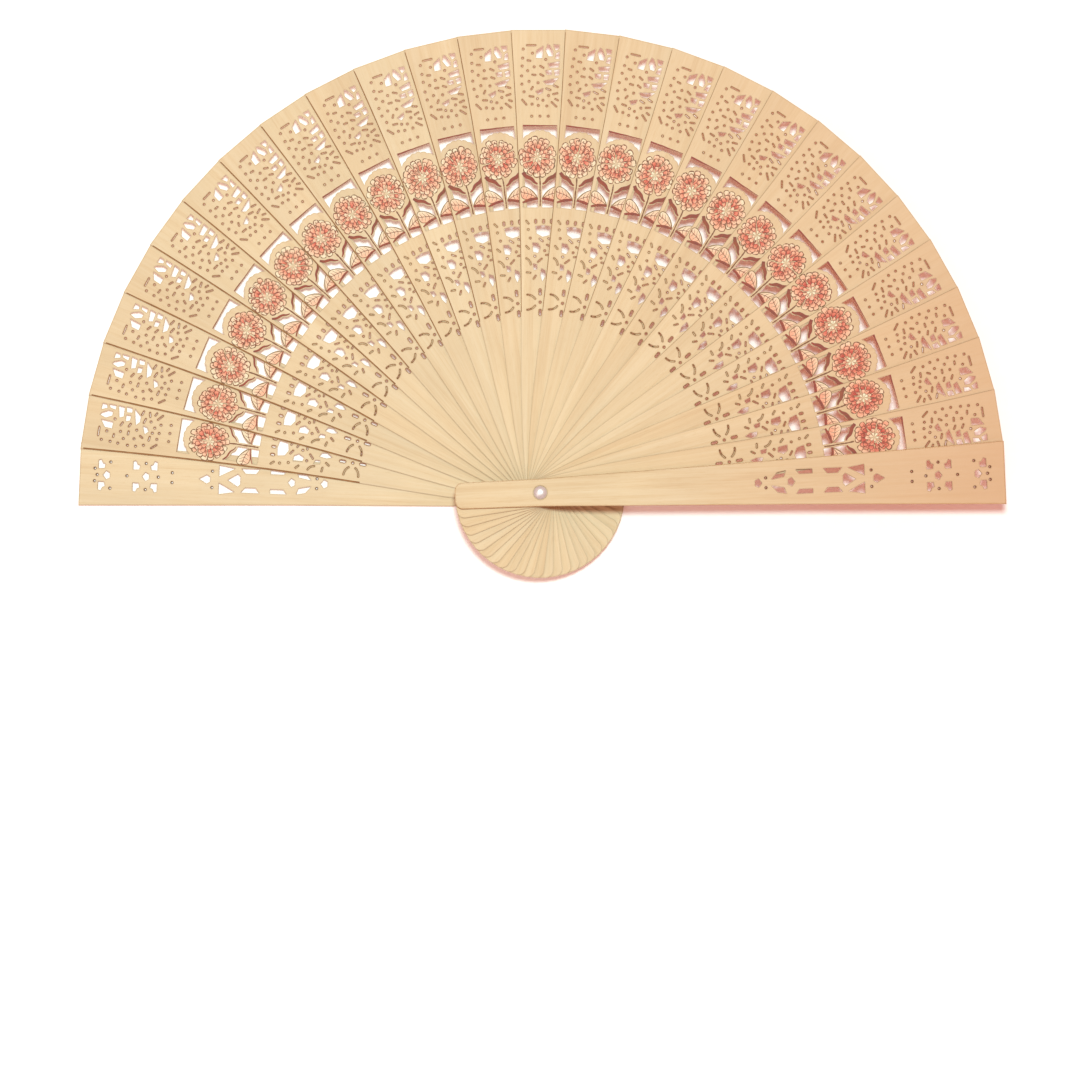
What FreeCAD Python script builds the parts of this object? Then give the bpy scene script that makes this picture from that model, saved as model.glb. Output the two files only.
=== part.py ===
"""A pierced wooden brise fan: 25 thin blades between two guards, all turning on one rivet.

Units are millimetres. The open fan lies flat in the XY plane with +Y along its middle blade.
The origin is on the rivet's axis, in the outer face of the rear guard, and +Z points to the front.
Every stick is drawn upright: its pivot at its own origin, its tip along +Y, its back face at z = 0.
"""
import FreeCAD, Part
import math
import os
import Sketcher

V = FreeCAD.Vector
Z_AXIS = V(0, 0, 1)
Y_AXIS = V(0, 1, 0)
# points and heights that are closer than this are the same
NEAR = 0.001

SIZES = {
    # the fan as a whole
    "blade_count": 25,
    "spacing_angle": 6.735,
    "rear_guard_angle": 177.6,
    "tip_radius": 169.0,
    "tail_radius": 31.0,
    "stick_gap": 0.16,
    # one blade
    "blade_thickness": 0.6,
    "blade_tip_half": 10.7,
    "flank_curve": 1463.5,
    "waist_half": 7.0,
    "waist_top": 65.0,
    "waist_bottom": 43.0,
    "neck_curve": 463.25,
    # the end of every stick beside and beyond the pivot
    "pivot_half": 5.0,
    "tail_half": 4.75,
    "tail_side": 28.2,
    "tail_corner": 2.8,
    "tail_flat_half": 1.95,
    # one guard
    "guard_thickness": 1.8,
    "guard_tip_half": 11.5,
    "guard_middle_half": 8.4,
    "guard_middle": 95.0,
    "guard_edge_round": 0.4,
    # the pivot
    "bore_radius": 1.35,
    "shank_radius": 1.25,
    "head_radius": 2.35,
    "head_edge": 0.2,
    "head_dome": 0.75,
    "head_recess_radius": 2.6,
    "head_recess_depth": 0.35,
    "head_play": 0.05,
    "washer_radius": 2.5,
    "washer_thickness": 0.35,
    "washer_recess_radius": 2.6,
    "washer_recess_depth": 0.85,
    "clench_radius": 1.9,
    "clench_height": 0.35,
    # piercing
    "dot_radius": 0.55,
    "slit_width": 0.8,
    "blade_dot_flare": 26.0,
    "guard_dot_flare": 10.0,
    "window_half": 6.2,
    "dots_radius": 137.5,
    "dots_pitch": 3.0,
    # linking thread
    "thread_width": 0.3,
    "thread_thickness": 0.12,
    "thread_inner": 2.9,
    "thread_outer": 8.4,
}

doc = FreeCAD.newDocument("HandFan")


def make_sheet():
    """The driving dimensions, one named cell each."""
    sheet = doc.addObject("Spreadsheet::Sheet", "Dimensions")
    for row, (name, value) in enumerate(SIZES.items(), start=1):
        sheet.set("A%d" % row, name)
        sheet.set("B%d" % row, str(value))
        sheet.setAlias("B%d" % row, name)
    doc.recompute()
    return sheet


sheet = make_sheet()


def size(name):
    """The value of one driving dimension."""
    return float(sheet.get(name))


def bind(target, path, formula):
    """Tie a property to the sheet: every cell name in braces becomes a reference to it."""
    target.setExpression(path, formula.replace("{", "Dimensions.").replace("}", ""))


# ---------------------------------------------------------------- bodies, sketches and features

def new_body(name):
    body = doc.addObject("PartDesign::Body", name)
    body.Label = name
    return body


def new_sketch(body, name, plane="XY_Plane", height=None):
    """A sketch on one of the body's own origin planes, raised to a height given as a formula."""
    sketch = body.newObject("Sketcher::SketchObject", name)
    support = [part for part in body.Origin.OriginFeatures if part.Role == plane][0]
    sketch.AttachmentSupport = (support, "")
    sketch.MapMode = "FlatFace"
    if height:
        bind(sketch, "AttachmentOffset.Base.z", height)
    return sketch


def pad(body, sketch, name, length):
    feature = body.newObject("PartDesign::Pad", name)
    feature.Profile = sketch
    bind(feature, "Length", length)
    doc.recompute()
    return feature


def cut_through(body, sketch, name):
    """Cut the sketch's closed loops through the whole stick, from its back face upwards."""
    before = body.Shape.Volume
    feature = body.newObject("PartDesign::Pocket", name)
    feature.Profile = sketch
    feature.Type = "ThroughAll"
    feature.Reversed = True
    doc.recompute()
    if body.Shape.Volume >= before:
        raise RuntimeError(name + " cuts nothing")
    return feature


def pierce(body, sketch, name, thickness, flare, upwards):
    """Cut a stick right through from the sketch's face, with openings that widen on the way."""
    before = body.Shape.Volume
    feature = body.newObject("PartDesign::Pocket", name)
    feature.Profile = sketch
    feature.Type = "Length"
    feature.Reversed = upwards
    bind(feature, "Length", "{" + thickness + "}")
    bind(feature, "TaperAngle", "{" + flare + "}")
    doc.recompute()
    if body.Shape.Volume >= before:
        raise RuntimeError(name + " cuts nothing")
    return feature


def inset(thickness, flare):
    """How much smaller a flared opening is at its narrow end, on each side."""
    return size(thickness) * math.tan(math.radians(size(flare)))


def cut_recess(body, sketch, name, depth):
    """Cut downwards from the sketch to a depth."""
    before = body.Shape.Volume
    feature = body.newObject("PartDesign::Pocket", name)
    feature.Profile = sketch
    feature.Type = "Length"
    bind(feature, "Length", depth)
    doc.recompute()
    if body.Shape.Volume >= before:
        raise RuntimeError(name + " cuts nothing")
    return feature


# ---------------------------------------------------------------- closed loops for sketches

def loop(sketch, start, steps):
    """A closed outline. A step is (end) for a straight run or (through, end) for an arc."""
    here = V(start[0], start[1], 0)
    for step in steps:
        end = V(step[-1][0], step[-1][1], 0)
        if len(step) == 1:
            sketch.addGeometry(Part.LineSegment(here, end), False)
        else:
            through = V(step[0][0], step[0][1], 0)
            sketch.addGeometry(Part.Arc(here, through, end), False)
        here = end


def polygon(sketch, corners):
    """A closed outline of straight runs."""
    steps = [(corner,) for corner in corners[1:] + corners[:1]]
    loop(sketch, corners[0], steps)


def moved(corners, x, y, flip_x=1, flip_y=1):
    """Corners drawn about their own centre, flipped and moved into place."""
    return [(x + flip_x * corner_x, y + flip_y * corner_y) for corner_x, corner_y in corners]


# Dots and slits are given by their size at the wide end of the opening and drawn at its narrow end.

def dot(sketch, x, y, shrink, radius=None):
    """A round hole that is smaller by shrink, all round, where it is drawn."""
    radius = (radius or size("dot_radius")) - shrink
    sketch.addGeometry(Part.Circle(V(x, y, 0), Z_AXIS, radius), False)


def slit(sketch, x, y, length, tilt, shrink, width=None):
    """A round-ended slit centred on x, y; tilt is in degrees from the X direction."""
    front_half = (width or size("slit_width")) / 2
    reach = length / 2 - front_half
    half = front_half - shrink
    turn = math.radians(tilt)
    along = V(math.cos(turn), math.sin(turn), 0)
    across = V(-along.y, along.x, 0)
    middle = V(x, y, 0)
    tail_end = middle - along * reach
    head_end = middle + along * reach
    loop(sketch, tuple(tail_end - across * half)[:2], [
        (tuple(head_end - across * half)[:2],),
        (tuple(head_end + along * half)[:2], tuple(head_end + across * half)[:2]),
        (tuple(tail_end + across * half)[:2],),
        (tuple(tail_end - along * half)[:2], tuple(tail_end - across * half)[:2]),
    ])


def curved_slit(sketch, centre_line, shrink):
    """A round-ended slit whose centre line is the arc through three points."""
    start, middle, end = (V(x, y, 0) for x, y in centre_line)
    centre = Part.Arc(start, middle, end).toShape().Curve.Center
    half = size("slit_width") / 2 - shrink

    def beside(point, shift):
        return point + (point - centre).normalize() * shift

    def beyond(point, inside):
        across = (point - centre).normalize()
        along = V(-across.y, across.x, 0)
        away = 1 if along.dot(point - inside) > 0 else -1
        return point + along * half * away

    corners = [beside(start, -half), beside(middle, -half), beside(end, -half), beyond(end, middle),
               beside(end, half), beside(middle, half), beside(start, half), beyond(start, middle)]
    flat = [(point.x, point.y) for point in corners]
    loop(sketch, flat[0], [(flat[1], flat[2]), (flat[3], flat[4]), (flat[5], flat[6]),
                           (flat[7], flat[0])])


# ---------------------------------------------------------------- outlines of the sticks

TAIL = [
    # (name, half width, distance from the pivot, arc radius that leads here, on the right or left)
    ("tail_end", "tail_flat_half", "-tail_radius", None, 0),
    ("tail_side", "tail_half", "-tail_side", "tail_corner", -1),
    ("pivot_side", "pivot_half", None, None, 0),
]
BLADE_SIDE = TAIL + [
    ("waist_low", "waist_half", "waist_bottom", "neck_curve", -1),
    ("waist_high", "waist_half", "waist_top", None, 0),
    ("tip_corner", "blade_tip_half", "tip_radius", "flank_curve", 1),
]
GUARD_SIDE = TAIL + [
    ("guard_middle", "guard_middle_half", "guard_middle", None, 0),
    ("tip_corner", "guard_tip_half", "tip_radius", None, 0),
]


def along_stick(cell):
    """A signed distance from the pivot along the stick, from a cell's name."""
    if cell is None:
        return 0.0
    return -size(cell[1:]) if cell.startswith("-") else size(cell)


def arc_middle(start, end, radius, side):
    """The middle of the arc from start to end; side is 1 for left of that way and -1 for right."""
    run = end - start
    rise = radius - math.sqrt(radius ** 2 - (run.Length / 2) ** 2)
    across = V(-run.y, run.x, 0).normalize()
    return (start + end) * 0.5 + across * rise * side


def side_edges(points, specs, mirror):
    """The edges of one side of a stick, from tail to tip, or from tip to tail when mirrored."""
    edges = []
    for number in range(1, len(points)):
        start, end = points[number - 1], points[number]
        radius, side = specs[number][3], specs[number][4]
        if radius:
            middle = arc_middle(start, end, size(radius), side)
        if mirror:
            start, end = V(-end.x, end.y, 0), V(-start.x, start.y, 0)
        if not radius:
            edges.append(Part.LineSegment(start, end))
        elif mirror:
            edges.append(Part.Arc(start, V(-middle.x, middle.y, 0), end))
        else:
            edges.append(Part.Arc(start, middle, end))
    return edges[::-1] if mirror else edges


def end_at(sketch, edge, point):
    """Which end of an edge lies at a point: 1 for its start and 2 for its end."""
    return 1 if sketch.getPoint(edge, 1).distanceToPoint(point) < NEAR else 2


def fix_point(sketch, edge, end, name, across, along):
    """Tie one end of an edge to its half width and its distance from the pivot."""
    index = sketch.addConstraint(
        Sketcher.Constraint("DistanceX", -1, 1, edge, end, size(across)))
    sketch.renameConstraint(index, name + "_across")
    bind(sketch, "Constraints." + name + "_across", "{" + across + "}")
    if along is None:
        sketch.addConstraint(Sketcher.Constraint("PointOnObject", edge, end, -1))
        return
    cell = along.lstrip("-")
    ends = (edge, end, -1, 1) if along.startswith("-") else (-1, 1, edge, end)
    index = sketch.addConstraint(Sketcher.Constraint("DistanceY", *ends, size(cell)))
    sketch.renameConstraint(index, name + "_along")
    bind(sketch, "Constraints." + name + "_along", "{" + cell + "}")


def stick_outline(body, specs):
    """A stick's outline, symmetric about its axis and tied to the sheet point by point."""
    sketch = new_sketch(body, body.Name + "_outline")
    right = [V(size(half), along_stick(along), 0) for _, half, along, _, _ in specs]
    left = [V(-point.x, point.y, 0) for point in right[::-1]]
    corners = right + left
    edges = side_edges(right, specs, mirror=False)
    edges.append(Part.LineSegment(right[-1], left[0]))
    edges += side_edges(right, specs, mirror=True)
    edges.append(Part.LineSegment(left[-1], right[0]))
    sketch.addGeometry(edges, False)
    total = len(edges)
    for edge in range(total):
        after = (edge + 1) % total
        meeting = corners[after]
        sketch.addConstraint(Sketcher.Constraint(
            "Coincident", edge, end_at(sketch, edge, meeting), after,
            end_at(sketch, after, meeting)))
    for number, (name, across, along, radius, _) in enumerate(specs):
        end = end_at(sketch, number, corners[number])
        twin = total - 1 - number
        twin_end = end_at(sketch, twin, corners[twin])
        fix_point(sketch, number, end, name, across, along)
        sketch.addConstraint(
            Sketcher.Constraint("Symmetric", number, end, twin, twin_end, -2))
        if radius:
            index = sketch.addConstraint(
                Sketcher.Constraint("Radius", number - 1, size(radius)))
            sketch.renameConstraint(index, name + "_arc")
            bind(sketch, "Constraints." + name + "_arc", "{" + radius + "}")
            sketch.addConstraint(Sketcher.Constraint("Equal", number - 1, twin))
    doc.recompute()
    return sketch


def cut_bore(body):
    """The hole for the rivet, tied to the sheet."""
    sketch = new_sketch(body, body.Name + "_bore_circle")
    sketch.addGeometry(Part.Circle(V(0, 0, 0), Z_AXIS, size("bore_radius")), False)
    sketch.addConstraint(Sketcher.Constraint("Coincident", 0, 3, -1, 1))
    index = sketch.addConstraint(Sketcher.Constraint("Radius", 0, size("bore_radius")))
    sketch.renameConstraint(index, "bore")
    bind(sketch, "Constraints.bore", "{bore_radius}")
    cut_through(body, sketch, body.Name + "_bore")


# ---------------------------------------------------------------- piercing of a blade

UPPER_DOTS = [
    (-6.1, 162.0), (-2.7, 160.5), (-6.3, 158.7), (2.1, 158.2), (-6.5, 155.8), (-2.1, 155.5),
    (-4.5, 154.1), (-6.7, 152.2), (-6.6, 149.2), (-4.0, 150.2), (-0.7, 149.7), (-5.8, 146.4),
    (3.1, 145.0), (1.1, 143.3), (2.5, 141.2), (-0.6, 141.4), (-2.9, 141.9), (-0.9, 143.9),
]
UPPER_SLITS = [
    # (x, y, length, tilt)
    (-3.2, 163.4, 3.9, 0), (-4.0, 157.8, 1.8, -8), (0.7, 155.5, 2.1, -30), (-2.2, 152.6, 1.9, -5),
    (0.7, 152.5, 2.0, -28), (-2.9, 147.7, 1.8, 60), (5.8, 148.4, 2.3, -22), (3.1, 147.3, 2.4, -20),
    (5.6, 145.7, 2.3, 12), (6.1, 143.5, 1.8, -28), (5.1, 141.8, 3.1, -44), (-5.7, 142.6, 3.1, -50),
    (-3.1, 144.7, 2.2, -8),
]
UPPER_LEAVES = [
    [(1.3, 163.2), (-1.3, 161.5), (-1.5, 158.8), (0.9, 158.7)],
    [(2.8, 163.8), (2.1, 161.6), (3.2, 159.4), (4.7, 159.3), (4.9, 160.9), (3.7, 163.3)],
    [(4.9, 163.7), (5.7, 161.5), (7.0, 161.9), (7.2, 163.5)],
    [(6.0, 160.5), (5.5, 158.5), (7.1, 158.4), (7.2, 161.1)],
    [(2.9, 156.7), (3.5, 155.2), (6.9, 155.3), (7.2, 157.5)],
    [(5.2, 154.2), (5.4, 152.3), (7.0, 152.4), (7.2, 154.6)],
    [(1.9, 154.2), (2.4, 152.7), (4.3, 152.6), (4.2, 154.3)],
    [(1.1, 150.3), (2.4, 149.0), (4.6, 149.0), (6.9, 151.5), (3.8, 150.9)],
    [(-1.7, 146.6), (-0.5, 145.3), (0.9, 146.1), (1.3, 147.7)],
]
MIDDLE_DOTS = [(-4.3, 96.1), (-1.9, 86.4), (3.4, 84.4), (1.7, 88.4), (-3.6, 93.0)]
MIDDLE_SLITS = [
    (-4.6, 98.8, 2.1, -50), (0.4, 92.3, 2.2, -38), (3.7, 92.6, 2.3, -22), (-4.6, 89.6, 2.1, -45),
    (3.3, 90.2, 2.5, -25), (3.0, 86.9, 2.4, 5), (-0.1, 84.9, 2.6, 42), (-4.2, 80.4, 2.1, -8),
    (-2.0, 78.7, 2.1, 55),
]
MIDDLE_LEAVES = [
    [(-1.7, 97.3), (-1.2, 94.7), (0.9, 93.5), (3.5, 94.1), (3.9, 97.2), (1.1, 97.7)],
    [(-2.8, 91.4), (-2.5, 88.0), (-0.8, 87.6), (0.2, 89.6), (-0.7, 91.2)],
    [(-2.6, 83.8), (-2.3, 81.4), (-1.0, 81.6), (-1.1, 83.3)],
    [(0.4, 82.0), (0.1, 79.4), (0.8, 77.3), (2.1, 79.3), (1.9, 81.2)],
]
MIDDLE_CURVE = [(-5.0, 85.6), (-3.9, 84.7), (-3.4, 83.4)]
MIDDLE_ROW = 99.1
MIDDLE_ROW_PLACES = (-1.6, 1.3, 4.2)
ROW_SLIT_LENGTH = 1.9
ROW_SLIT_WIDTH = 1.2
UPRIGHT = 90


def pierce_leaves(body, name, shapes):
    """Larger openings with straight sides and upright walls."""
    sketch = new_sketch(body, name)
    for corners in shapes:
        polygon(sketch, corners)
    cut_through(body, sketch, name + "_cut")


def pierce_upper_lattice(body):
    """A lace of dots on the left and of slits and leaf shapes on the right, under the tip."""
    shrink = inset("blade_thickness", "blade_dot_flare")
    sketch = new_sketch(body, "upper_dots_and_slits")
    for x, y in UPPER_DOTS:
        dot(sketch, x, y, shrink)
    for x, y, length, tilt in UPPER_SLITS:
        slit(sketch, x, y, length, tilt, shrink)
    pierce(body, sketch, "upper_dots_and_slits_cut", "blade_thickness", "blade_dot_flare", True)
    pierce_leaves(body, "upper_leaves", UPPER_LEAVES)


def pierce_three_dots(body):
    """The row of three holes between the upper lattice and the flower window."""
    shrink = inset("blade_thickness", "blade_dot_flare")
    sketch = new_sketch(body, "three_dots")
    for step in (-1, 0, 1):
        dot(sketch, step * size("dots_pitch"), size("dots_radius"), shrink)
    pierce(body, sketch, "three_dots_cut", "blade_thickness", "blade_dot_flare", True)


WINDOW_TOP = 133.8
WINDOW_BOTTOM = 104.2
DOME_TOP = 132.2
DOME_DROP = 3.0
DOME_SCALLOPS = 6
SCALLOP_RISE = 0.35
STEM_HALF = 0.75
# the opening between the flower head and the right leaf, whose bends are the middles of arcs
CALYX_AT_STEM = 112.1
CALYX_BEND = (2.1, 112.5)
CALYX_TIP = (3.2, 113.9)
HEAD_BEND = (4.6, 114.4)
HEAD_AT_RIM = 116.2
LEAF_AT_RIM = 111.9
LEAF_BEND = (3.0, 110.6)
LEAF_AT_STEM = 107.9
# the opening below the right leaf
FOOT_AT_STEM = 107.0
FOOT_BEND = (3.4, 106.6)
FOOT_AT_RIM = 105.6


def dome(x):
    """The height of the flower head's top edge at a place across the window."""
    return DOME_TOP - DOME_DROP * (x / size("window_half")) ** 2


def mirrored(place, side):
    """A place on the right of the stick's axis, or its mirror image when side is -1."""
    return side * place[0], place[1]


def pierce_flower_window(body):
    """A rectangular window that keeps a flower head, its stem and its two leaves as wood."""
    edge = size("window_half")
    sketch = new_sketch(body, "flower_window")
    scallops = []
    step = 2 * edge / DOME_SCALLOPS
    for number in range(DOME_SCALLOPS):
        start = edge - number * step
        end = start - step
        middle = (start + end) / 2
        scallops.append(((middle, dome(middle) + SCALLOP_RISE), (end, dome(end))))
    loop(sketch, (-edge, dome(edge)), [((-edge, WINDOW_TOP),), ((edge, WINDOW_TOP),),
                                       ((edge, dome(edge)),)] + scallops)
    for side in (1, -1):
        stem = side * STEM_HALF
        rim = side * edge
        loop(sketch, (stem, CALYX_AT_STEM), [
            (mirrored(CALYX_BEND, side), mirrored(CALYX_TIP, side)),
            (mirrored(HEAD_BEND, side), (rim, HEAD_AT_RIM)),
            ((rim, LEAF_AT_RIM),),
            (mirrored(LEAF_BEND, side), (stem, LEAF_AT_STEM)),
            ((stem, CALYX_AT_STEM),),
        ])
        loop(sketch, (stem, FOOT_AT_STEM), [
            (mirrored(FOOT_BEND, side), (rim, FOOT_AT_RIM)),
            ((rim, WINDOW_BOTTOM),),
            ((stem, WINDOW_BOTTOM),),
            ((stem, FOOT_AT_STEM),),
        ])
    cut_through(body, sketch, "flower_window_cut")


def pierce_middle_lattice(body):
    """A lace of slits, dots and leaf shapes between the flower and the daisy."""
    shrink = inset("blade_thickness", "blade_dot_flare")
    sketch = new_sketch(body, "middle_dots_and_slits")
    for x, y in MIDDLE_DOTS:
        dot(sketch, x, y, shrink)
    for x, y, length, tilt in MIDDLE_SLITS:
        slit(sketch, x, y, length, tilt, shrink)
    for x in MIDDLE_ROW_PLACES:
        slit(sketch, x, MIDDLE_ROW, ROW_SLIT_LENGTH, UPRIGHT, shrink, ROW_SLIT_WIDTH)
    curved_slit(sketch, MIDDLE_CURVE, shrink)
    pierce(body, sketch, "middle_dots_and_slits_cut", "blade_thickness", "blade_dot_flare", True)
    pierce_leaves(body, "middle_leaves", MIDDLE_LEAVES)


DAISY_CENTRE = 69.6
DAISY_REACH = 3.75
DAISY_HOLE = 0.62
DAISY_SLIT_LENGTH = 2.7
DAISY_SLIT_WIDTH = 1.3
# the centre line of the upper right curved slit, measured from the daisy's centre
DAISY_CURVE = [(1.8, 1.25), (3.1, 2.35), (4.7, 2.75)]


def pierce_daisy(body):
    """A centre hole with two upright slits and four curved ones around it."""
    shrink = inset("blade_thickness", "blade_dot_flare")
    sketch = new_sketch(body, "daisy")
    dot(sketch, 0, DAISY_CENTRE, shrink, DAISY_HOLE)
    for step in (-1, 1):
        place = DAISY_CENTRE + step * DAISY_REACH
        slit(sketch, 0, place, DAISY_SLIT_LENGTH, UPRIGHT, shrink, DAISY_SLIT_WIDTH)
        for side in (-1, 1):
            curved_slit(sketch, moved(DAISY_CURVE, 0, DAISY_CENTRE, side, step), shrink)
    pierce(body, sketch, "daisy_cut", "blade_thickness", "blade_dot_flare", True)


def make_master_blade():
    """The first blade; every other blade repeats its shape."""
    body = new_body("blade_01")
    pad(body, stick_outline(body, BLADE_SIDE), "blade_plate", "{blade_thickness}")
    cut_bore(body)
    pierce_upper_lattice(body)
    pierce_three_dots(body)
    pierce_flower_window(body)
    pierce_middle_lattice(body)
    pierce_daisy(body)
    return body


def repeat_blade(master, number):
    """A body of its own with the master blade's shape."""
    body = new_body("blade_%02d" % number)
    copy = doc.addObject("PartDesign::FeatureBase", "shape_%02d" % number)
    copy.BaseFeature = master
    copy.Placement = master.Placement
    body.Group = [copy]
    body.Tip = copy
    return body


# ---------------------------------------------------------------- piercing of a guard

CLUSTER = [(-1.6, 1.2), (-1.5, -1.0), (0.1, -1.3), (0.4, -0.4), (1.7, 0.2), (1.4, 1.2)]
DIAMOND = [(0.0, 1.4), (-1.6, 0.2), (-0.9, -1.1), (0.9, -1.1), (1.6, 0.2)]
TALL_DIAMOND = [(0.0, 2.4), (-1.6, -0.4), (-0.9, -1.6), (0.9, -1.6), (1.6, -0.4)]
KITE = [(0.0, 2.5), (-2.3, -1.2), (-1.4, -2.1), (1.4, -2.1), (2.3, -1.2)]
WING = [(1.2, 117.9), (5.3, 117.9), (4.3, 112.0)]
UPPER_PANE = [(2.6, 108.2), (4.4, 109.8), (4.4, 103.0), (2.6, 104.4)]
LOWER_PANE = [(2.8, 99.0), (4.4, 99.0), (4.4, 93.0), (2.8, 94.2)]
LOW_LEAF = [(1.1, 84.0), (2.0, 88.6), (4.2, 89.4), (3.6, 86.2)]
CLUSTER_OUT = 4.0
# (distance from the pivot, 1 or -1 when turned over)
CLUSTER_PLACES = [(161.0, 1), (148.3, 1), (141.8, -1)]
DIAMOND_PLACES = [159.1, 144.7, 91.2, 79.2]
TALL_DIAMOND_PLACE = 122.8
KITE_PLACE = 112.2
GUARD_CENTRE_DOTS = [162.6, 151.7, 140.2]
GUARD_PAIRED_DOTS = [
    # (half the distance between the two dots, distance from the pivot)
    (2.3, 163.5), (4.8, 157.8), (4.8, 144.8), (1.8, 135.1), (3.0, 120.4), (1.8, 82.0),
]


def pierce_guard(body, wide_outside):
    """Two rosettes, a diamond, a kite between two wings, side panes, a low kite and leaves.
    The dots are wide at the face that looks to the front of the fan."""
    shrink = inset("guard_thickness", "guard_dot_flare")
    height = None if wide_outside else "{guard_thickness}"
    sketch = new_sketch(body, body.Name + "_dots", height=height)
    for y in GUARD_CENTRE_DOTS:
        dot(sketch, 0, y, shrink)
    for x, y in GUARD_PAIRED_DOTS:
        dot(sketch, -x, y, shrink)
        dot(sketch, x, y, shrink)
    name = body.Name + "_dots_cut"
    pierce(body, sketch, name, "guard_thickness", "guard_dot_flare", wide_outside)
    sketch = new_sketch(body, body.Name + "_openings")
    for side in (-1, 1):
        for y, way in CLUSTER_PLACES:
            polygon(sketch, moved(CLUSTER, side * CLUSTER_OUT, y, side, way))
        for corners in (WING, UPPER_PANE, LOWER_PANE, LOW_LEAF):
            polygon(sketch, moved(corners, 0, 0, side))
    for y in DIAMOND_PLACES:
        polygon(sketch, moved(DIAMOND, 0, y))
    polygon(sketch, moved(TALL_DIAMOND, 0, TALL_DIAMOND_PLACE))
    polygon(sketch, moved(KITE, 0, KITE_PLACE))
    cut_through(body, sketch, body.Name + "_openings_cut")


def ease_outer_edges(body, plate):
    """Round the rim of the plate's outer face, where a hand holds the guard."""
    top = size("guard_thickness")
    rim = ["Edge%d" % number for number, edge in enumerate(plate.Shape.Edges, start=1)
           if edge.BoundBox.ZMin > top - NEAR]
    fillet = body.newObject("PartDesign::Fillet", body.Name + "_eased_rim")
    fillet.Base = (plate, rim)
    bind(fillet, "Radius", "{guard_edge_round}")
    doc.recompute()


def make_guard(name, recess_radius, recess_depth, wide_outside):
    """A thick outer stick, drawn with its outer face up and a recess there around the bore."""
    body = new_body(name)
    plate = pad(body, stick_outline(body, GUARD_SIDE), name + "_plate", "{guard_thickness}")
    ease_outer_edges(body, plate)
    cut_bore(body)
    sketch = new_sketch(body, name + "_recess_circle", height="{guard_thickness}")
    sketch.addGeometry(Part.Circle(V(0, 0, 0), Z_AXIS, size(recess_radius)), False)
    sketch.addConstraint(Sketcher.Constraint("Coincident", 0, 3, -1, 1))
    index = sketch.addConstraint(Sketcher.Constraint("Radius", 0, size(recess_radius)))
    sketch.renameConstraint(index, "recess")
    bind(sketch, "Constraints.recess", "{" + recess_radius + "}")
    cut_recess(body, sketch, name + "_recess", "{" + recess_depth + "}")
    pierce_guard(body, wide_outside)
    return body


# ---------------------------------------------------------------- rivet, washer and thread

def stack_height():
    """The distance between the outer faces of the two guards."""
    blades = size("blade_count") * (size("blade_thickness") + size("stick_gap"))
    return 2 * size("guard_thickness") + blades + size("stick_gap")


def revolve(body, sketch, name):
    feature = body.newObject("PartDesign::Revolution", name)
    feature.Profile = sketch
    feature.ReferenceAxis = (sketch, ["V_Axis"])
    feature.Angle = 360
    doc.recompute()
    return feature


def cap_middle(rim_radius, rise):
    """How far out and how far below its crown a round cap passes, half way down its arc."""
    ball = (rim_radius ** 2 + rise ** 2) / (2 * rise)
    half_turn = math.asin(rim_radius / ball) / 2
    return ball * math.sin(half_turn), ball * (1 - math.cos(half_turn))


def make_rivet():
    """A pin with a domed head on the front guard and a clenched tail under the washer."""
    body = new_body("rivet")
    sketch = new_sketch(body, "rivet_profile", plane="XZ_Plane")
    shank = size("shank_radius")
    head = size("head_radius")
    clench = size("clench_radius")
    seat = stack_height() - size("head_recess_depth") + size("head_play")
    rim = seat + size("head_edge")
    crown = rim + size("head_dome")
    tail_top = size("washer_recess_depth") - size("washer_thickness")
    tail_low = tail_top - size("clench_height")
    dome_out, dome_down = cap_middle(head, size("head_dome"))
    tail_out, tail_up = cap_middle(clench, size("clench_height"))
    loop(sketch, (0, tail_low), [
        ((tail_out, tail_low + tail_up), (clench, tail_top)),
        ((shank, tail_top),),
        ((shank, seat),),
        ((head, seat),),
        ((head, rim),),
        ((dome_out, crown - dome_down), (0, crown)),
        ((0, tail_low),),
    ])
    revolve(body, sketch, "rivet_turned")
    if abs(body.Shape.BoundBox.ZMax - crown) > NEAR:
        raise RuntimeError("the rivet has lost its dome")
    return body


def make_washer():
    """The washer that the rivet's tail is clenched over, let into the rear guard."""
    body = new_body("rivet_washer")
    sketch = new_sketch(body, "washer_rings")
    for name, cell in (("inner", "shank_radius"), ("outer", "washer_radius")):
        ring = sketch.addGeometry(Part.Circle(V(0, 0, 0), Z_AXIS, size(cell)), False)
        sketch.addConstraint(Sketcher.Constraint("Coincident", ring, 3, -1, 1))
        index = sketch.addConstraint(Sketcher.Constraint("Radius", ring, size(cell)))
        sketch.renameConstraint(index, name)
        bind(sketch, "Constraints." + name, "{" + cell + "}")
    pad(body, sketch, "washer_plate", "{washer_thickness}")
    return body


def make_thread(number):
    """A length of flat thread, from the first dot of one stick to the edge of the stick below."""
    name = "thread_%02d" % number
    body = new_body(name)
    sketch = new_sketch(body, name + "_strip")
    inner = size("thread_inner")
    outer = size("thread_outer")
    middle = -(inner + outer) / 2
    slit(sketch, middle, size("dots_radius"), outer - inner, 0, 0, size("thread_width"))
    pad(body, sketch, name + "_length", "{thread_thickness}")
    return body


# ---------------------------------------------------------------- the open fan

def turned(angle):
    """The turn that points an upright stick's tip at an angle from +X."""
    return FreeCAD.Rotation(Z_AXIS, angle - 90)


def layer(number):
    """The height of the back face of a stick; the rear guard is number 0."""
    if number == 0:
        return 0.0
    pitch = size("blade_thickness") + size("stick_gap")
    return size("guard_thickness") + size("stick_gap") + (number - 1) * pitch


def stick_angle(number):
    return size("rear_guard_angle") - number * size("spacing_angle")


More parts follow.
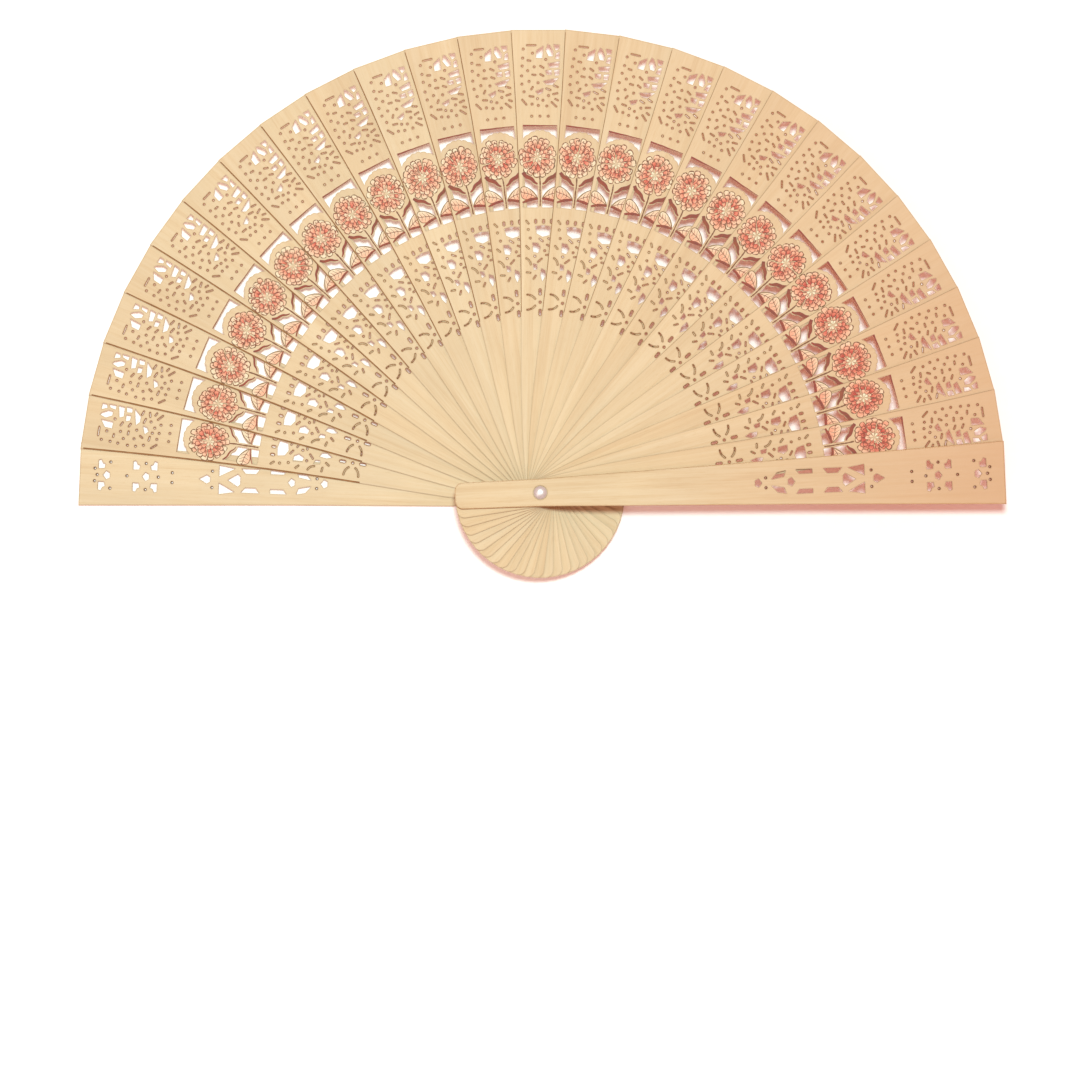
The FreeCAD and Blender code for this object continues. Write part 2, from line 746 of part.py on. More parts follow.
def assemble():
    """Every sub-part in its place in the open fan."""
    blade_count = int(size("blade_count"))
    last = blade_count + 1
    parts = []

    rear = make_guard("rear_guard", "washer_recess_radius", "washer_recess_depth", False)
    outer_face_down = FreeCAD.Rotation(Y_AXIS, 180)
    rear.Placement = FreeCAD.Placement(
        V(0, 0, size("guard_thickness")), turned(stick_angle(0)) * outer_face_down)
    parts.append(rear)

    master = make_master_blade()
    blades = [master] + [repeat_blade(master, number) for number in range(2, last)]
    for number, blade in enumerate(blades, start=1):
        blade.Placement = FreeCAD.Placement(V(0, 0, layer(number)), turned(stick_angle(number)))
    parts += blades

    front = make_guard("front_guard", "head_recess_radius", "head_recess_depth", True)
    front.Placement = FreeCAD.Placement(V(0, 0, layer(last)), turned(stick_angle(last)))
    parts.append(front)

    parts.append(make_rivet())
    washer = make_washer()
    washer.Placement.Base = V(0, 0, size("washer_recess_depth") - size("washer_thickness"))
    parts.append(washer)

    for number in range(1, last + 1):
        thread = make_thread(number)
        height = layer(number) - size("thread_thickness")
        thread.Placement = FreeCAD.Placement(V(0, 0, height), turned(stick_angle(number)))
        parts.append(thread)
    return parts


def check(parts):
    """Stop if any object failed or any sub-part isn't one sound solid."""
    for item in doc.Objects:
        if "Invalid" in item.State or "Error" in item.State:
            raise RuntimeError(item.Name + " failed: " + str(item.State))
    for part in parts:
        shape = part.Shape
        if shape.isNull() or not shape.isValid() or len(shape.Solids) != 1:
            raise RuntimeError(part.Label + " is not one valid solid")


parts = assemble()
doc.recompute()
check(parts)
os.makedirs("parts", exist_ok=True)
for part in parts:
    part.Shape.exportStep("parts/" + part.Label + ".step")
print("sub-parts:", len(parts), "stack height:", round(stack_height(), 3))
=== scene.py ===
"""Looks of a pierced wooden brise hand fan: honey coloured sticks, printed flowers, a rivet and thread."""

import math
import random
from collections import namedtuple

import bpy
from mathutils import Matrix, Vector


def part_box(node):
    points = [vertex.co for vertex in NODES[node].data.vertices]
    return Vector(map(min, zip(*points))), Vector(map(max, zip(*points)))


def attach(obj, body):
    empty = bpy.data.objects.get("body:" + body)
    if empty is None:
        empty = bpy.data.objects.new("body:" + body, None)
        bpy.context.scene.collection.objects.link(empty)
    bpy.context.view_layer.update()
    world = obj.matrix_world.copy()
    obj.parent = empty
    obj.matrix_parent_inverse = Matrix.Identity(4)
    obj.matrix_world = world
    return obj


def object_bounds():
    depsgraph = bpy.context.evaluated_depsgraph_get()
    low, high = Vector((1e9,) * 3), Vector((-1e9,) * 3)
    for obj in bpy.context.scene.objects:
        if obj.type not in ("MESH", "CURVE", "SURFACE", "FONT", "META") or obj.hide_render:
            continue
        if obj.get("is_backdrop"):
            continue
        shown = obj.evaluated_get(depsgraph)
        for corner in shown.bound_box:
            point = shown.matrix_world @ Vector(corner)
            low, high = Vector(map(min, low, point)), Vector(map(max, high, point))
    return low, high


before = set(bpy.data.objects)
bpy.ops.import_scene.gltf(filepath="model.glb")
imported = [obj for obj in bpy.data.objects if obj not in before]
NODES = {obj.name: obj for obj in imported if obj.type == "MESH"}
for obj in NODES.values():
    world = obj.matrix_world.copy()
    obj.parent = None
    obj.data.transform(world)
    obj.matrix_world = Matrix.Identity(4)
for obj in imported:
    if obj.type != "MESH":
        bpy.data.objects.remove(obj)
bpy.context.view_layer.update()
MM = 0.001

BLADE_NAMES = sorted(name for name in NODES if name.startswith("blade_"))
THREAD_NAMES = sorted(name for name in NODES if name.startswith("thread_"))
STICK_NAMES = ["rear_guard"] + BLADE_NAMES + ["front_guard"]
CORNER_SLACK = 0.02 * MM

DARKER = 0.8  # the lamps are bright enough to make a white card 1/0.8 times white


def srgb(red, green, blue):
    """Linear colour of a surface that looks, under the lamps, like a screen colour given from 0 to 255."""
    out = []
    for value in (red, green, blue):
        c = value / 255
        out.append(DARKER * (c / 12.92 if c <= 0.04045 else ((c + 0.055) / 1.055) ** 2.4))
    return (*out, 1.0)


def between(a, b, share):
    """Value for value, share of the way from a to b."""
    return tuple(x + (y - x) * share for x, y in zip(a, b))


def limited(value):
    """The value, held between 0 and 1."""
    return min(1.0, max(0.0, value))


def stick_turn(node):
    """Turn of a stick about the rivet, from +Y, read from the two corners of its outer end."""
    points = [v.co.xy for v in NODES[node].data.vertices]
    reach = max(p.length for p in points)
    ends = [p for p in points if p.length > reach - CORNER_SLACK]
    first = ends[0]
    second = max(ends, key=lambda p: (p - first).length)
    middle = first.normalized() + second.normalized()
    return math.atan2(middle.y, middle.x) - math.pi / 2


# A noise's scale along each axis, and the texture's own settings
Noise = namedtuple("Noise", "scale detail roughness distortion", defaults=(0.0,))


class Nodes:
    """Short way to write a material's nodes."""

    def __init__(self, name):
        self.material = bpy.data.materials.new(name)
        self.material.use_nodes = True
        self.tree = self.material.node_tree
        self.tree.nodes.clear()
        self.shader = self.add("ShaderNodeBsdfPrincipled")
        self.add("ShaderNodeOutputMaterial", {"Surface": self.shader.outputs[0]})

    def put(self, node, name, value):
        """Links an input to a socket, or sets it to a constant."""
        socket = node.inputs[name]
        if isinstance(value, bpy.types.NodeSocket):
            self.tree.links.new(value, socket)
        else:
            socket.default_value = value

    def add(self, kind, inputs=None, **settings):
        """Adds a node with its settings, and links or sets its inputs."""
        node = self.tree.nodes.new(kind)
        for name, value in settings.items():
            setattr(node, name, value)
        for name, value in (inputs or {}).items():
            self.put(node, name, value)
        return node

    def set(self, **values):
        """Links or sets the shader's own inputs."""
        for name, value in values.items():
            self.put(self.shader, name.replace("_", " "), value)

    def math(self, kind, a, b=0.0, c=0.0, clamp=False):
        return self.add("ShaderNodeMath", {0: a, 1: b, 2: c}, operation=kind, use_clamp=clamp).outputs[0]

    def mix(self, share, a, b, blend="MIX"):
        """Colour b over colour a, by a share."""
        node = self.add("ShaderNodeMix", data_type="RGBA", blend_type=blend)
        self.put(node, 0, share)
        self.put(node, 6, a)
        self.put(node, 7, b)
        return node.outputs[2]

    def ramp(self, value, stops):
        """Colour ramp with a stop for each pair of a place and a colour."""
        node = self.add("ShaderNodeValToRGB", {0: value})
        while len(node.color_ramp.elements) < len(stops):
            node.color_ramp.elements.new(0.5)
        for element, (place, colour) in zip(node.color_ramp.elements, stops):
            element.position = place
            element.color = colour
        return node.outputs[0]

    def grey(self, value, stops):
        """Ramp in grey, for each pair of a place and a value."""
        return self.ramp(value, [(place, (g, g, g, 1)) for place, g in stops])

    def span(self, value, start, end, low=0.0, high=1.0):
        """Maps start to low and end to high, and holds the value outside them."""
        return self.add("ShaderNodeMapRange", {0: value, 1: start, 2: end, 3: low, 4: high}).outputs[0]

    def noise(self, vector, kind, shift=(0, 0, 0)):
        """One of the kinds of noise listed below, as a grey value."""
        put = {"Vector": vector, "Scale": kind.scale, "Location": shift}
        scaled = self.add("ShaderNodeMapping", put).outputs[0]
        put = {"Vector": scaled, "Scale": 1.0, "Detail": kind.detail}
        put.update({"Roughness": kind.roughness, "Distortion": kind.distortion})
        return self.add("ShaderNodeTexNoise", put).outputs["Fac"]

    def place(self):
        """Place in the object's own frame, in metres."""
        return self.add("ShaderNodeTexCoord").outputs["Object"]

    def part(self, vector, axis):
        """One of the three parts of a vector."""
        return self.add("ShaderNodeSeparateXYZ", {0: vector}).outputs[axis]

    def size(self, vector):
        """Length of a vector."""
        return self.add("ShaderNodeVectorMath", {0: vector}, operation="LENGTH").outputs["Value"]

    def bump(self, height, strength, distance):
        put = {"Height": height, "Strength": strength, "Distance": distance}
        self.set(Normal=self.add("ShaderNodeBump", put).outputs[0])


# ---------------------------------------------------------------- wood

# Colours of pale, middle and dark grain, each for the coolest and the warmest stick
PALE = (srgb(251, 231, 196), srgb(250, 223, 182))
HONEY = (srgb(243, 216, 173), srgb(238, 204, 156))
AMBER = (srgb(228, 193, 145), srgb(218, 174, 122))
CUT = (srgb(228, 184, 136), srgb(204, 152, 102))  # sawn walls, least and most browned; the browner walls toward both ends of the fan are painted shade
TOAST = srgb(224, 170, 126)
# Burnt colour of the rims round every cut, which also serves as painted shade in the dots and along the
# sticks' edges
SCORCH_AND_SHADE = srgb(128, 78, 40)

# Scales are per metre across the stick, along it and through it
BANDS = Noise((230, 9, 200), 4, 0.6, 0.7)
STREAKS = Noise((850, 20, 400), 4, 0.62, 0.35)
FIBRES = Noise((2600, 70, 900), 3, 0.6)
PORES = Noise((4300, 260, 1500), 2, 0.5)
CLOUDS = Noise((60, 22, 60), 3, 0.5)
SEED_STEP = (3.71, 1.93, 0.57)

BAND_SHARE, STREAK_SHARE, FIBRE_SHARE = 0.42, 0.34, 0.24
AMBER_AT, HONEY_AT, PALE_AT = 0.22, 0.48, 0.78  # values of the grain
CLOUDED = [(0.3, 0.9), (0.7, 1.0)]  # value of the noise, and what the colour is multiplied by
TOASTED = (0.03, 0.17)  # distance from the rivet, where a stick starts to brown and where it is brownest
PORE_EDGE = [(0.30, 1.0), (0.38, 0.0)]  # value of the noise, and how much of a pore it is
PORE_SHARE = 0.28
WALL_STEEPNESS = [(0.35, 1.0), (0.75, 0.0)]  # upright part of the normal, and how much of a wall it is
WALL_SHARE = 0.9
RIM_WIDTH = 0.0008
RIM_DARKEST, RIM_END = 0.86, 0.998  # cosines between the rounded normal and the face's own
RIM_PATCHES = [(0.3, 1.0), (0.7, 0.72)]
WOOD_ROUGHNESS, FIBRE_ROUGHNESS = 0.42, 0.22
WOOD_GLOSS = 0.38
FIBRE_RELIEF, PORE_RELIEF = 0.6, 0.5
WOOD_RELIEF = 0.00006


def wood(name, turn, warmth, seed, contrast, toast, rim_burn_and_shade, wall_burn_and_shade):
    """Fine straight-grained wood. The grain runs along the stick, and cut walls and their rims are singed and
    darkened with painted shade.
    toast is how much browner the outer end is, rim_burn_and_shade how dark the rims are from burn and painted
    shade, and wall_burn_and_shade how dark the cut walls are from burn and painted shade."""
    n = Nodes(name)
    turned = n.add("ShaderNodeMapping", {"Vector": n.place(), "Rotation": (0, 0, -turn)}).outputs[0]
    shift = tuple(seed * step for step in SEED_STEP)
    kinds = (BANDS, STREAKS, FIBRES, PORES, CLOUDS)
    bands, streaks, fibres, pores, clouds = (n.noise(turned, kind, shift) for kind in kinds)

    grain = n.math("ADD", n.math("MULTIPLY", bands, BAND_SHARE), n.math("MULTIPLY", streaks, STREAK_SHARE))
    grain = n.math("ADD", grain, n.math("MULTIPLY", fibres, FIBRE_SHARE))
    spread = n.math("MULTIPLY_ADD", grain, contrast, 0.5 - contrast / 2)
    pale, honey, amber = (between(cool, warm, warmth) for cool, warm in (PALE, HONEY, AMBER))
    colour = n.ramp(spread, [(AMBER_AT, amber), (HONEY_AT, honey), (PALE_AT, pale)])
    colour = n.mix(1.0, colour, n.grey(clouds, CLOUDED), "MULTIPLY")
    outer = n.span(n.part(turned, 1), *TOASTED, 0.0, toast)
    colour = n.mix(outer, colour, TOAST)
    pore_mask = n.grey(pores, PORE_EDGE)
    colour = n.mix(n.math("MULTIPLY", pore_mask, PORE_SHARE), colour, amber)

    geometry = n.add("ShaderNodeNewGeometry")
    upright = n.math("ABSOLUTE", n.part(geometry.outputs["True Normal"], 2))
    wall = n.grey(upright, WALL_STEEPNESS)
    rounded = n.add("ShaderNodeBevel", {"Radius": RIM_WIDTH}, samples=6).outputs[0]
    both = {0: rounded, 1: geometry.outputs["Normal"]}
    flat = n.add("ShaderNodeVectorMath", both, operation="DOT_PRODUCT").outputs["Value"]
    # The rims round every cut darken: partly burn, partly painted shade
    rim = n.grey(flat, [(RIM_DARKEST, rim_burn_and_shade), (RIM_END, 0.0)])
    colour = n.mix(n.math("MULTIPLY", wall, WALL_SHARE), colour, between(CUT[0], CUT[1], wall_burn_and_shade))
    patchy = n.math("MULTIPLY", rim, n.grey(streaks, RIM_PATCHES))
    n.set(Base_Color=n.mix(patchy, colour, SCORCH_AND_SHADE))

    n.set(Roughness=n.math("MULTIPLY_ADD", fibres, FIBRE_ROUGHNESS, WOOD_ROUGHNESS))
    n.set(Specular_IOR_Level=WOOD_GLOSS)
    raised = n.math("MULTIPLY", fibres, FIBRE_RELIEF)
    sunk = n.math("MULTIPLY", pore_mask, PORE_RELIEF)
    n.bump(n.math("SUBTRACT", raised, sunk), strength=0.35, distance=WOOD_RELIEF)
    return n.material


def paint(node, material):
    """Gives a CAD node its material."""
    for slot in NODES[node].material_slots:
        slot.material = material


# How the sticks differ, from the left end of the open fan to the right one
LEAST_WARMTH, WARMER, WARMTH_SPREAD = 0.15, 0.7, 0.18
GUARD_CONTRAST, BLADE_CONTRAST, CONTRAST_SPREAD = 1.5, 1.15, 0.15
TOASTIER, TOAST_POWER, TOAST_SPREAD = 0.85, 2.5, 0.08
# How dark the rims are, burn and painted shade, least in the middle of the fan and most at its ends
RIM_BURN_AND_SHADE_IN_MIDDLE, RIM_BURN_AND_SHADE_MORE_AT_ENDS = 0.38, 0.12
TONE_SEED = 26


def paint_sticks():
    """Gives each stick its own wood: warmer and more toasted to the right, with the darkest cut walls and
    rims, burn and painted shade, at both ends of the open fan."""
    tones = random.Random(TONE_SEED)
    for count, name in enumerate(STICK_NAMES):
        side = count / (len(STICK_NAMES) - 1)
        warmth = limited(LEAST_WARMTH + WARMER * side + tones.uniform(-WARMTH_SPREAD, WARMTH_SPREAD))
        contrast = GUARD_CONTRAST if name.endswith("guard") else BLADE_CONTRAST
        contrast += tones.uniform(-CONTRAST_SPREAD, CONTRAST_SPREAD)
        toast = TOASTIER * side ** TOAST_POWER + tones.uniform(0.0, TOAST_SPREAD)
        # Walls and rims darker toward both ends of the fan: painted shade
        wall_burn_and_shade = abs(2 * side - 1)
        rim_burn_and_shade = RIM_BURN_AND_SHADE_IN_MIDDLE + RIM_BURN_AND_SHADE_MORE_AT_ENDS * wall_burn_and_shade
        look = wood("wood_" + name, TURN[name], warmth, count + 1, contrast, toast, rim_burn_and_shade, wall_burn_and_shade)
        paint(name, look)


TURN = {name: stick_turn(name) for name in STICK_NAMES}
paint_sticks()


# ---------------------------------------------------------------- metal and thread

RIVET_COLOUR = (0.93, 0.92, 0.92, 1)
WASHER_COLOUR = (0.62, 0.62, 0.62, 1)
SCRATCHES = Noise((9000, 1500, 9000), 4, 0.6)
SPOTS = Noise((1400, 1400, 1400), 3, 0.6)
SPOT_EDGE = (0.3, 0.65)
SPOT_DARKNESS = 0.82
LEAST_ROUGHNESS = 0.14
TURNING_SCALE = 22000.0
TURNING_RELIEF = 0.00001

FUZZ = Noise((9000, 9000, 9000), 3, 0.6)
PLY_SCALE, PLY_DISTORTION = 2600.0, 1.2
PLY_SHARE, FUZZ_SHARE = 0.7, 0.3
COTTON = [(0.2, srgb(196, 178, 146)), (0.8, srgb(240, 230, 208))]
COTTON_ROUGHNESS = [(0.2, 0.75), (0.8, 0.95)]
COTTON_SHEEN = 0.25
THREAD_RELIEF = 0.00004


def metal(name, colour, scratches, metallic):
    """Polished or brushed steel with fine turning lines and a few dull spots."""
    n = Nodes(name)
    where = n.place()
    lines = n.noise(where, SCRATCHES)
    put = {"W": n.size(where), "Scale": TURNING_SCALE, "Detail": 2.0}
    turning = n.add("ShaderNodeTexNoise", put, noise_dimensions="1D").outputs["Fac"]
    dull = tuple(c * SPOT_DARKNESS for c in colour[:3]) + (1,)
    n.set(Base_Color=n.ramp(n.noise(where, SPOTS), list(zip(SPOT_EDGE, (dull, colour)))))
    n.set(Metallic=metallic)
    n.set(Roughness=n.math("MULTIPLY_ADD", lines, scratches, LEAST_ROUGHNESS))
    n.bump(turning, strength=0.2, distance=TURNING_RELIEF)
    return n.material


def twisted_thread():
    """Off-white cotton thread: plies wound round it, with loose fibres."""
    n = Nodes("linking_thread")
    where = n.place()
    put = {"Vector": where, "Scale": PLY_SCALE, "Distortion": PLY_DISTORTION}
    put.update({"Detail": 2.0, "Detail Scale": 2.0})
    plies = n.add("ShaderNodeTexWave", put, bands_direction="DIAGONAL").outputs["Fac"]
    fuzz = n.noise(where, FUZZ)
    tone = n.math("ADD", n.math("MULTIPLY", plies, PLY_SHARE), n.math("MULTIPLY", fuzz, FUZZ_SHARE))
    n.set(Base_Color=n.ramp(tone, COTTON))
    n.set(Roughness=n.grey(fuzz, COTTON_ROUGHNESS))
    n.set(Sheen_Weight=COTTON_SHEEN)
    n.bump(tone, strength=0.5, distance=THREAD_RELIEF)
    return n.material


paint("rivet", metal("rivet_steel", RIVET_COLOUR, scratches=0.35, metallic=0.75))
paint("rivet_washer", metal("washer_steel", WASHER_COLOUR, scratches=0.40, metallic=1.0))
THREAD = twisted_thread()
for name in THREAD_NAMES:
    paint(name, THREAD)


# ---------------------------------------------------------------- inks of the printed flowers

# Scales are per mm across the stick and along it
CORAL_GRAIN = Noise((1.7, 0.16, 1.0), 4, 0.62, 0.3)
SPECKLE = Noise((2.6, 2.2, 1.0), 3, 0.6)
OUTLINE_GRAIN = Noise((2.4, 0.5, 1.0), 3, 0.6)
FLANK_GRAIN = Noise((3.0, 0.25, 1.0), 3, 0.6)
UNEVENNESS = 0.9
INK_RELIEF = 0.00004
CORAL = [(0.05, srgb(255, 238, 202)), (0.45, srgb(255, 190, 154)),
         (0.75, srgb(242, 130, 102)), (1.0, srgb(208, 78, 60))]
OLIVE = [(0.25, srgb(88, 62, 30)), (0.75, srgb(156, 116, 68))]
BRICK = [(0.25, srgb(122, 40, 28)), (0.75, srgb(182, 84, 62))]
# Colours of a blade's browned flank and of the contact shadow painted along it
FLANK_BURN_AND_SHADOW_COLOURS = [(0.3, srgb(136, 88, 46)), (0.7, srgb(176, 124, 74))]


def ink(name, kind, gloss, roughness):
    """Starts an ink: its nodes, the place in the stick's plane in mm, and the grain that shows through."""
    n = Nodes(name)
    place = n.add("ShaderNodeUVMap", uv_map="stick").outputs[0]
    grain = n.noise(place, kind)
    n.set(Roughness=n.grey(grain, [(0.2, roughness[0]), (0.8, roughness[1])]))
    n.set(Specular_IOR_Level=gloss)
    n.bump(grain, strength=0.25, distance=INK_RELIEF)
    return n, place, grain


def from_mesh(n):
    """The value that the mesh holds at each point of the print."""
    return n.add("ShaderNodeAttribute", attribute_name="ink").outputs["Fac"]


def ink_fill():
    """Coral ink on wood, denser where the mesh says so and broken up by the grain under it."""
    n, place, grain = ink("ink_coral", CORAL_GRAIN, gloss=0.25, roughness=(0.45, 0.62))
    speckle = n.noise(place, SPECKLE)
    uneven = n.math("ADD", n.math("MULTIPLY", grain, 0.5), n.math("MULTIPLY", speckle, 0.5))
    change = n.math("MULTIPLY", n.math("SUBTRACT", uneven, 0.5), UNEVENNESS)
    n.set(Base_Color=n.ramp(n.math("ADD", from_mesh(n), change, clamp=True), CORAL))
    return n.material


def ink_line():
    """Thin outline ink, olive brown turning to dark red brown where the mesh says so. It also draws the
    painted shadows along the openings' rims.
    """
    n, _, grain = ink("ink_outline", OUTLINE_GRAIN, gloss=0.2, roughness=(0.42, 0.6))
    n.set(Base_Color=n.mix(from_mesh(n), n.ramp(grain, OLIVE), n.ramp(grain, BRICK)))
    return n.material


def flank_burn_and_shadow():
    """Browned wood at a blade's sawn flank, with the contact shadow on its neighbour painted in, and the
    grain still showing.
    """
    n, _, grain = ink("flank_burn_and_shadow", FLANK_GRAIN, gloss=0.2, roughness=(0.5, 0.7))
    n.set(Base_Color=n.ramp(grain, FLANK_BURN_AND_SHADOW_COLOURS))
    return n.material


INKS = [ink_fill(), ink_line(), flank_burn_and_shadow()]
FILL, LINE, BURN_AND_SHADOW_INK = 0, 1, 2


# ---------------------------------------------------------------- drawing on a blade

# Heights are in steps of LIFT above the wood. Inks that overlap lie at different heights, the highest at
# 6.8, so the print is thinner than the gap between two sticks.
LIFT = 0.02  # mm


class Print:
    """A layer of ink drawn in a stick's own plane, in mm, with the rivet at (0, 0) and the tip along +y. It
    holds the print and painted shadows.
    """

    def __init__(self):
        self.points, self.tones, self.faces, self.inks = [], [], [], []

    def add(self, points, tones, height, faces, ink):
        """Adds a flat shape at a height. A tone says how deep or how red the ink is at a point."""
        start = len(self.points)
        self.points += [(x, y, height * LIFT) for x, y in points]
        self.tones += tones
        self.faces += [tuple(start + i for i in face) for face in faces]
        self.inks += [ink] * len(faces)

    def fan(self, hub, hub_tone, rim, rim_tones, height):
        """Triangles from a hub to each step of a rim."""
        faces = [(0, i + 1, i + 2) for i in range(len(rim) - 1)]
        self.add([hub] + rim, [hub_tone] + rim_tones, height, faces, FILL)

    def strip(self, left, right, tones, height, ink):
        """Quadrilaterals between two lines of as many points."""
        count = len(left)
        faces = [(i, count + i, count + i + 1, i + 1) for i in range(count - 1)]
        self.add(left + right, [tones[0]] * count + [tones[1]] * count, height, faces, ink)

    def ribbon(self, line, widths, height, tone=0.0, ink=LINE):
        """Line with a width at each of its points."""
        left, right = [], []
        for i, (x, y) in enumerate(line):
            ax, ay = line[max(i - 1, 0)]
            bx, by = line[min(i + 1, len(line) - 1)]
            size = math.hypot(bx - ax, by - ay) or 1.0
            half = widths[i] / 2 if isinstance(widths, list) else widths / 2
            nx, ny = -(by - ay) / size * half, (bx - ax) / size * half
            left.append((x + nx, y + ny))
            right.append((x - nx, y - ny))
        self.strip(left, right, (tone, tone), height, ink)

    def lay(self, name, blade):
        """Makes the mesh, turns it to its blade and lays it on the blade's front face."""
        mesh = bpy.data.meshes.new(name)
        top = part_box(blade)[1].z
        spin = Matrix.Rotation(TURN[blade], 4, "Z")
        placed = [spin @ Vector((x * MM, y * MM, top + z * MM)) for x, y, z in self.points]
        faces = [face if self.faces_up(face) else face[::-1] for face in self.faces]
        mesh.from_pydata(placed, [], faces)
        for material in INKS:
            mesh.materials.append(material)
        mesh.polygons.foreach_set("material_index", self.inks)
        tones = mesh.attributes.new("ink", "FLOAT", "POINT")
        tones.data.foreach_set("value", self.tones)
        plane = mesh.uv_layers.new(name="stick")
        for loop in mesh.loops:
            plane.data[loop.index].uv = self.points[loop.vertex_index][:2]
        mesh.update()
        piece = bpy.data.objects.new(name, mesh)
        bpy.context.scene.collection.objects.link(piece)
        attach(piece, blade)
        return piece

    def faces_up(self, face):
        """Whether a face is wound so that it looks away from the wood."""
        (ax, ay, _), (bx, by, _), (cx, cy, _) = (self.points[i] for i in face[:3])
        return (bx - ax) * (cy - ay) - (by - ay) * (cx - ax) > 0


def curve(points, steps=5):
    """Smooth line through the points."""
    out = []
    for i in range(len(points) - 1):
        p0, p1 = points[max(i - 1, 0)], points[i]
        p2, p3 = points[i + 1], points[min(i + 2, len(points) - 1)]
        for s in range(steps):
            t = s / steps
            out.append(tuple(
                0.5 * (2 * b + (c - a) * t + (2 * a - 5 * b + 4 * c - d) * t * t
                       + (3 * b - a - 3 * c + d) * t ** 3)
                for a, b, c, d in zip(p0, p1, p2, p3)
            ))
    out.append(points[-1])
    return out


def mirrored(line, side):
    """The line itself for side 1, and its mirror image across the blade for side -1."""
    return [(side * x, y) for x, y in line]


# ---------------------------------------------------------------- flower head

FLOWER_CENTRE = (-0.7, 122.75)
FLOWER_WIDER, FLOWER_TALLER = 0.96, 1.04
PETAL_STEPS = 14
TIP_ROUNDNESS, SIDE_ROUNDNESS = 0.8, 0.7  # powers of the sine and the cosine; smaller is squarer
BASE_WIDTH = 0.45  # of the width at the tip
THIN_AT_BASE = 0.4  # of the outline's width at the tip

# Count of petals; radii of base and tip, mm; half the spread of a petal, degrees; ink at base and rim;
# height; outline's width, mm, and redness; places of the veins across a petal; share of the flower's depth
Ring = namedtuple("Ring", "count base tip spread tones height width red veins depth")
RINGS = (
    Ring(17, 4.2, 7.1, 14.0, (0.48, 0.10), 1.0, 0.34, 0.3, (-0.3, 0.3), 1.0),
    Ring(15, 3.3, 5.95, 13.5, (0.61, 0.25), 2.0, 0.26, 0.5, (-0.25, 0.2), 1.0),
    Ring(13, 2.3, 4.75, 15.5, (0.82, 0.42), 3.0, 0.26, 0.7, (-0.5, 0.5), 1.0),
    Ring(9, 1.1, 3.2, 21.0, (0.46, 0.32), 4.0, 0.20, 0.8, (0.0,), 0.5),
    Ring(6, 0.35, 1.75, 30.0, (0.12, 0.10), 5.0, 0.13, 0.4, (), 0.0),
)
LEVEL_STEP, OUTLINE_STEP, VEIN_STEP = 0.3, 0.2, 0.1  # heights from petal to petal, and above the petal

# Random ranges for a petal: place in shares of the pitch, change of length, spread, lean and depth of ink
PLACE = (-0.2, 0.2)
REACH = (-0.06, 0.05)
SPREAD = (0.85, 1.12)
SKEW = (-0.06, 0.06)
SHADE = (-0.18, 0.18)
# and for its lines: the outline's width and redness, the veins' place across, and where they start and end
OUTLINE_WIDTH = (0.35, 1.5)
OUTLINE_RED = (-0.15, 0.25)
VEIN_SIDE = (-0.12, 0.12)
VEIN_START = (0.12, 0.24)
VEIN_END = (0.4, 0.8)
VEIN_WIDTHS = (0.9, 0.7, 0.2)
VEIN_RED = 0.5

STROKES = 56
STROKE_PLACE = (-0.4, 0.4)
STROKE_START = (1.8, 5.8)
STROKE_MIDDLE, STROKE_LENGTH = (0.3, 0.5), (0.6, 1.0)
STROKE_RED = (0.25, 1.0)
STROKE_WIDTHS = [0.12, 0.28, 0.08]
STROKE_HEIGHT, STROKE_STEP, STROKE_LEVELS = 6.0, 0.1, 8


def around(middle, radius, angle):
    """Point of the flower, which is a little taller than wide."""
    x = middle[0] + FLOWER_WIDER * radius * math.cos(angle)
    return x, middle[1] + FLOWER_TALLER * radius * math.sin(angle)


def petal(middle, base, tip, angle, half, skew):
    """Outline of a rounded petal from its base round the tip, and each point's distance out, from 0 to 1."""
    line, out = [], []
    for i in range(PETAL_STEPS + 1):
        turn = math.pi * i / PETAL_STEPS
        rise = math.sin(turn) ** TIP_ROUNDNESS
        lean = math.copysign(abs(math.cos(turn)) ** SIDE_ROUNDNESS, math.cos(turn))
        a = angle + half * lean * (BASE_WIDTH + (1 - BASE_WIDTH) * rise) + skew * rise
        line.append(around(middle, base + (tip - base) * rise, a))
        out.append(rise)
    return line, out


